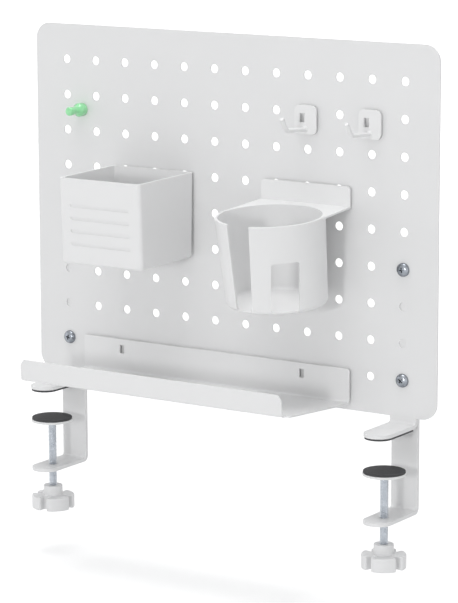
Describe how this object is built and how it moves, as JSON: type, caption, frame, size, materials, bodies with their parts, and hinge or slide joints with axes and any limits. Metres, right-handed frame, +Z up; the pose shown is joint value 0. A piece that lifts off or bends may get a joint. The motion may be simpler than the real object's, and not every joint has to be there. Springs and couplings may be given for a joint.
{
  "type": "desk-clamped pegboard organizer",
  "caption": "Perforated steel desk pegboard with two screw clamps under it, carrying a long tray, a square pen box, a slotted cup holder, single hooks and a magnetic pin.",
  "frame": {"origin": "on the desk top, midway between the two clamps, in the plane of the board's front face", "axes": "+Z up along the board, +X to the right seen from the user's side, +Y backwards through the board; the user is at -Y"},
  "size_m": [0.333, 0.0961, 0.354],
  "materials": {
    "pegboard_panel": "white powder coat, fine texture",
    "bracket_screws": "bright zinc plate",
    "bracket_nuts": "bright zinc plate",
    "tray": "white powder coat, fine texture",
    "pen_box": "white powder coat, fine texture",
    "cup_holder": "white powder coat, fine texture",
    "push_pin": "moulded, glossy",
    "push_pin_magnet": "nickel-plated magnet",
    "left_upper_jaw": "white powder coat, fine texture",
    "left_clamp_strip": "white powder coat, fine texture",
    "left_jaw_pad": "matt, moulded",
    "left_pressure_pad": "matt, moulded",
    "left_pressure_plate": "white powder coat, fine texture",
    "left_clamp_screw": "bright zinc plate",
    "left_knob": "moulded, soft gloss",
    "left_hook_plate": "white powder coat, fine texture",
    "left_hook_arm": "white powder coat, fine texture",
    "right_upper_jaw": "white powder coat, fine texture",
    "right_clamp_strip": "white powder coat, fine texture",
    "right_jaw_pad": "matt, moulded",
    "right_pressure_pad": "matt, moulded",
    "right_pressure_plate": "white powder coat, fine texture",
    "right_clamp_screw": "bright zinc plate",
    "right_knob": "moulded, soft gloss",
    "right_hook_plate": "white powder coat, fine texture",
    "right_hook_arm": "white powder coat, fine texture"
  },
  "bodies": {
    "board": {"pegboard_panel": "pegboard_panel", "bracket_screws": "bracket_screws", "bracket_nuts": "bracket_nuts", "left_upper_jaw": "left_upper_jaw", "left_clamp_strip": "left_clamp_strip", "left_jaw_pad": "left_jaw_pad", "right_upper_jaw": "right_upper_jaw", "right_clamp_strip": "right_clamp_strip", "right_jaw_pad": "right_jaw_pad"},
    "tray": {"tray": "tray"},
    "pen_box": {"pen_box": "pen_box"},
    "cup_holder": {"cup_holder": "cup_holder"},
    "push_pin": {"push_pin": "push_pin", "push_pin_magnet": "push_pin_magnet"},
    "left_hook": {"left_hook_plate": "left_hook_plate", "left_hook_arm": "left_hook_arm"},
    "left_pressure_foot": {"left_pressure_plate": "left_pressure_plate", "left_pressure_pad": "left_pressure_pad"},
    "left_screw": {"left_clamp_screw": "left_clamp_screw", "left_knob": "left_knob"},
    "right_hook": {"right_hook_plate": "right_hook_plate", "right_hook_arm": "right_hook_arm"},
    "right_pressure_foot": {"right_pressure_plate": "right_pressure_plate", "right_pressure_pad": "right_pressure_pad"},
    "right_screw": {"right_clamp_screw": "right_clamp_screw", "right_knob": "right_knob"}
  },
  "joints": [
    {"name": "tray_lift", "type": "slide", "parent": "board", "child": "tray", "axis": [0, 0, 1], "range_m": [0, 0.0035]},
    {"name": "pen_box_lift", "type": "slide", "parent": "board", "child": "pen_box", "axis": [0, 0, 1], "range_m": [0, 0.0035]},
    {"name": "cup_holder_lift", "type": "slide", "parent": "board", "child": "cup_holder", "axis": [0, 0, 1], "range_m": [0, 0.0035]},
    {"name": "left_hook_lift", "type": "slide", "parent": "board", "child": "left_hook", "axis": [0, 0, 1], "range_m": [0, 0.0035]},
    {"name": "left_clamp_travel", "type": "slide", "parent": "board", "child": "left_pressure_foot", "axis": [0, 0, 1], "range_m": [-0.0315, 0.0125]},
    {"name": "left_screw_turn", "type": "hinge", "parent": "left_pressure_foot", "child": "left_screw", "pos_m": [-0.1397, -0.0235, -0.06], "axis": [0, 0, 1], "range_deg": [-11342, 4502]},
    {"name": "right_hook_lift", "type": "slide", "parent": "board", "child": "right_hook", "axis": [0, 0, 1], "range_m": [0, 0.0035]},
    {"name": "right_clamp_travel", "type": "slide", "parent": "board", "child": "right_pressure_foot", "axis": [0, 0, 1], "range_m": [-0.029, 0.015]},
    {"name": "right_screw_turn", "type": "hinge", "parent": "right_pressure_foot", "child": "right_screw", "pos_m": [0.1397, -0.0235, -0.06], "axis": [0, 0, 1], "range_deg": [-10442, 5402]},
    {"name": "push_pin_pull", "type": "slide", "parent": "board", "child": "push_pin", "axis": [0, -1, 0], "range_m": [0, 0.03]}
  ],
  "couplings": [
    {"joint": "left_screw_turn", "follows": "left_clamp_travel", "rad_per_m": 6283.2},
    {"joint": "right_screw_turn", "follows": "right_clamp_travel", "rad_per_m": 6283.2}
  ]
}
